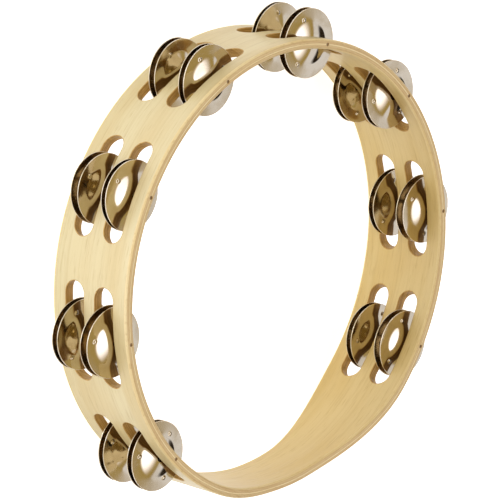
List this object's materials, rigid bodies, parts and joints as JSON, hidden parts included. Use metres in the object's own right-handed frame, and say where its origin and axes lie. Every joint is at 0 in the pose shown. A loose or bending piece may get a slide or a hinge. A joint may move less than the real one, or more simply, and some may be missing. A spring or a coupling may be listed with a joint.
{
  "type": "tambourine",
  "caption": "Headless round tambourine: a bent plywood hoop with a narrowed hand grip and two rows of slots, each holding a pair of domed metal jingles on a pin.",
  "frame": {"origin": "on the hoop's axis, in the plane of its back edge, which it lies on", "axes": "+Z along the hoop's axis from the back edge to the front edge, +X to the right with the hand grip at -Y"},
  "size_m": [0.287, 0.2628, 0.055],
  "materials": {
    "face_veneer": "satin clear lacquer, pale",
    "core_veneer": "satin, tan",
    "middle_veneer": "satin, pale",
    "pin_steel": "dull drawn wire",
    "nickel_sheet": "polished nickel plate"
  },
  "bodies": {
    "hoop": {"outer_face_ply": "face_veneer", "outer_core_ply": "core_veneer", "middle_ply": "middle_veneer", "inner_core_ply": "core_veneer", "inner_face_ply": "face_veneer", "pin_1": "pin_steel", "pin_2": "pin_steel", "pin_3": "pin_steel", "pin_4": "pin_steel", "pin_5": "pin_steel", "pin_6": "pin_steel", "pin_7": "pin_steel", "pin_8": "pin_steel"},
    "jingle_front_1a": {"jingle_front_1a": "nickel_sheet"},
    "jingle_front_1b": {"jingle_front_1b": "nickel_sheet"},
    "jingle_front_2a": {"jingle_front_2a": "nickel_sheet"},
    "jingle_front_2b": {"jingle_front_2b": "nickel_sheet"},
    "jingle_front_3a": {"jingle_front_3a": "nickel_sheet"},
    "jingle_front_3b": {"jingle_front_3b": "nickel_sheet"},
    "jingle_front_4a": {"jingle_front_4a": "nickel_sheet"},
    "jingle_front_4b": {"jingle_front_4b": "nickel_sheet"},
    "jingle_front_5a": {"jingle_front_5a": "nickel_sheet"},
    "jingle_front_5b": {"jingle_front_5b": "nickel_sheet"},
    "jingle_front_6a": {"jingle_front_6a": "nickel_sheet"},
    "jingle_front_6b": {"jingle_front_6b": "nickel_sheet"},
    "jingle_front_7a": {"jingle_front_7a": "nickel_sheet"},
    "jingle_front_7b": {"jingle_front_7b": "nickel_sheet"},
    "jingle_front_8a": {"jingle_front_8a": "nickel_sheet"},
    "jingle_front_8b": {"jingle_front_8b": "nickel_sheet"},
    "jingle_back_1a": {"jingle_back_1a": "nickel_sheet"},
    "jingle_back_1b": {"jingle_back_1b": "nickel_sheet"},
    "jingle_back_2a": {"jingle_back_2a": "nickel_sheet"},
    "jingle_back_2b": {"jingle_back_2b": "nickel_sheet"},
    "jingle_back_3a": {"jingle_back_3a": "nickel_sheet"},
    "jingle_back_3b": {"jingle_back_3b": "nickel_sheet"},
    "jingle_back_4a": {"jingle_back_4a": "nickel_sheet"},
    "jingle_back_4b": {"jingle_back_4b": "nickel_sheet"},
    "jingle_back_5a": {"jingle_back_5a": "nickel_sheet"},
    "jingle_back_5b": {"jingle_back_5b": "nickel_sheet"},
    "jingle_back_6a": {"jingle_back_6a": "nickel_sheet"},
    "jingle_back_6b": {"jingle_back_6b": "nickel_sheet"},
    "jingle_back_7a": {"jingle_back_7a": "nickel_sheet"},
    "jingle_back_7b": {"jingle_back_7b": "nickel_sheet"},
    "jingle_back_8a": {"jingle_back_8a": "nickel_sheet"},
    "jingle_back_8b": {"jingle_back_8b": "nickel_sheet"}
  },
  "joints": [
    {"name": "jingle_front_1a_slide", "type": "slide", "parent": "hoop", "child": "jingle_front_1a", "axis": [0, 0, 1], "range_m": [-0.0037, 0.0005]},
    {"name": "jingle_front_1b_slide", "type": "slide", "parent": "hoop", "child": "jingle_front_1b", "axis": [0, 0, 1], "range_m": [-0.0017, 0.0037]},
    {"name": "jingle_front_2a_slide", "type": "slide", "parent": "hoop", "child": "jingle_front_2a", "axis": [0, 0, 1], "range_m": [-0.0043, 0.0002]},
    {"name": "jingle_front_2b_slide", "type": "slide", "parent": "hoop", "child": "jingle_front_2b", "axis": [0, 0, 1], "range_m": [-0.0014, 0.0043]},
    {"name": "jingle_front_3a_slide", "type": "slide", "parent": "hoop", "child": "jingle_front_3a", "axis": [0, 0, 1], "range_m": [-0.0029, 0.0009]},
    {"name": "jingle_front_3b_slide", "type": "slide", "parent": "hoop", "child": "jingle_front_3b", "axis": [0, 0, 1], "range_m": [-0.0021, 0.0029]},
    {"name": "jingle_front_4a_slide", "type": "slide", "parent": "hoop", "child": "jingle_front_4a", "axis": [0, 0, 1], "range_m": [-0.0033, 0.0007]},
    {"name": "jingle_front_4b_slide", "type": "slide", "parent": "hoop", "child": "jingle_front_4b", "axis": [0, 0, 1], "range_m": [-0.0019, 0.0033]},
    {"name": "jingle_front_5a_slide", "type": "slide", "parent": "hoop", "child": "jingle_front_5a", "axis": [0, 0, 1], "range_m": [-0.0027, 0.001]},
    {"name": "jingle_front_5b_slide", "type": "slide", "parent": "hoop", "child": "jingle_front_5b", "axis": [0, 0, 1], "range_m": [-0.0022, 0.0027]},
    {"name": "jingle_front_6a_slide", "type": "slide", "parent": "hoop", "child": "jingle_front_6a", "axis": [0, 0, 1], "range_m": [-0.0023, 0.0012]},
    {"name": "jingle_front_6b_slide", "type": "slide", "parent": "hoop", "child": "jingle_front_6b", "axis": [0, 0, 1], "range_m": [-0.0024, 0.0023]},
    {"name": "jingle_front_7a_slide", "type": "slide", "parent": "hoop", "child": "jingle_front_7a", "axis": [0, 0, 1], "range_m": [-0.0041, 0.0003]},
    {"name": "jingle_front_7b_slide", "type": "slide", "parent": "hoop", "child": "jingle_front_7b", "axis": [0, 0, 1], "range_m": [-0.0015, 0.0041]},
    {"name": "jingle_front_8a_slide", "type": "slide", "parent": "hoop", "child": "jingle_front_8a", "axis": [0, 0, 1], "range_m": [-0.0027, 0.001]},
    {"name": "jingle_front_8b_slide", "type": "slide", "parent": "hoop", "child": "jingle_front_8b", "axis": [0, 0, 1], "range_m": [-0.0022, 0.0027]},
    {"name": "jingle_back_1a_slide", "type": "slide", "parent": "hoop", "child": "jingle_back_1a", "axis": [0, 0, 1], "range_m": [-0.0027, 0.001]},
    {"name": "jingle_back_1b_slide", "type": "slide", "parent": "hoop", "child": "jingle_back_1b", "axis": [0, 0, 1], "range_m": [-0.0022, 0.0027]},
    {"name": "jingle_back_2a_slide", "type": "slide", "parent": "hoop", "child": "jingle_back_2a", "axis": [0, 0, 1], "range_m": [-0.0027, 0.001]},
    {"name": "jingle_back_2b_slide", "type": "slide", "parent": "hoop", "child": "jingle_back_2b", "axis": [0, 0, 1], "range_m": [-0.0022, 0.0027]},
    {"name": "jingle_back_3a_slide", "type": "slide", "parent": "hoop", "child": "jingle_back_3a", "axis": [0, 0, 1], "range_m": [-0.0031, 0.0008]},
    {"name": "jingle_back_3b_slide", "type": "slide", "parent": "hoop", "child": "jingle_back_3b", "axis": [0, 0, 1], "range_m": [-0.002, 0.0031]},
    {"name": "jingle_back_4a_slide", "type": "slide", "parent": "hoop", "child": "jingle_back_4a", "axis": [0, 0, 1], "range_m": [-0.0017, 0.0015]},
    {"name": "jingle_back_4b_slide", "type": "slide", "parent": "hoop", "child": "jingle_back_4b", "axis": [0, 0, 1], "range_m": [-0.0027, 0.0017]},
    {"name": "jingle_back_5a_slide", "type": "slide", "parent": "hoop", "child": "jingle_back_5a", "axis": [0, 0, 1], "range_m": [-0.0033, 0.0007]},
    {"name": "jingle_back_5b_slide", "type": "slide", "parent": "hoop", "child": "jingle_back_5b", "axis": [0, 0, 1], "range_m": [-0.0019, 0.0033]},
    {"name": "jingle_back_6a_slide", "type": "slide", "parent": "hoop", "child": "jingle_back_6a", "axis": [0, 0, 1], "range_m": [-0.0043, 0.0002]},
    {"name": "jingle_back_6b_slide", "type": "slide", "parent": "hoop", "child": "jingle_back_6b", "axis": [0, 0, 1], "range_m": [-0.0014, 0.0043]},
    {"name": "jingle_back_7a_slide", "type": "slide", "parent": "hoop", "child": "jingle_back_7a", "axis": [0, 0, 1], "range_m": [-0.0029, 0.0009]},
    {"name": "jingle_back_7b_slide", "type": "slide", "parent": "hoop", "child": "jingle_back_7b", "axis": [0, 0, 1], "range_m": [-0.0021, 0.0029]},
    {"name": "jingle_back_8a_slide", "type": "slide", "parent": "hoop", "child": "jingle_back_8a", "axis": [0, 0, 1], "range_m": [-0.0027, 0.001]},
    {"name": "jingle_back_8b_slide", "type": "slide", "parent": "hoop", "child": "jingle_back_8b", "axis": [0, 0, 1], "range_m": [-0.0022, 0.0027]}
  ]
}
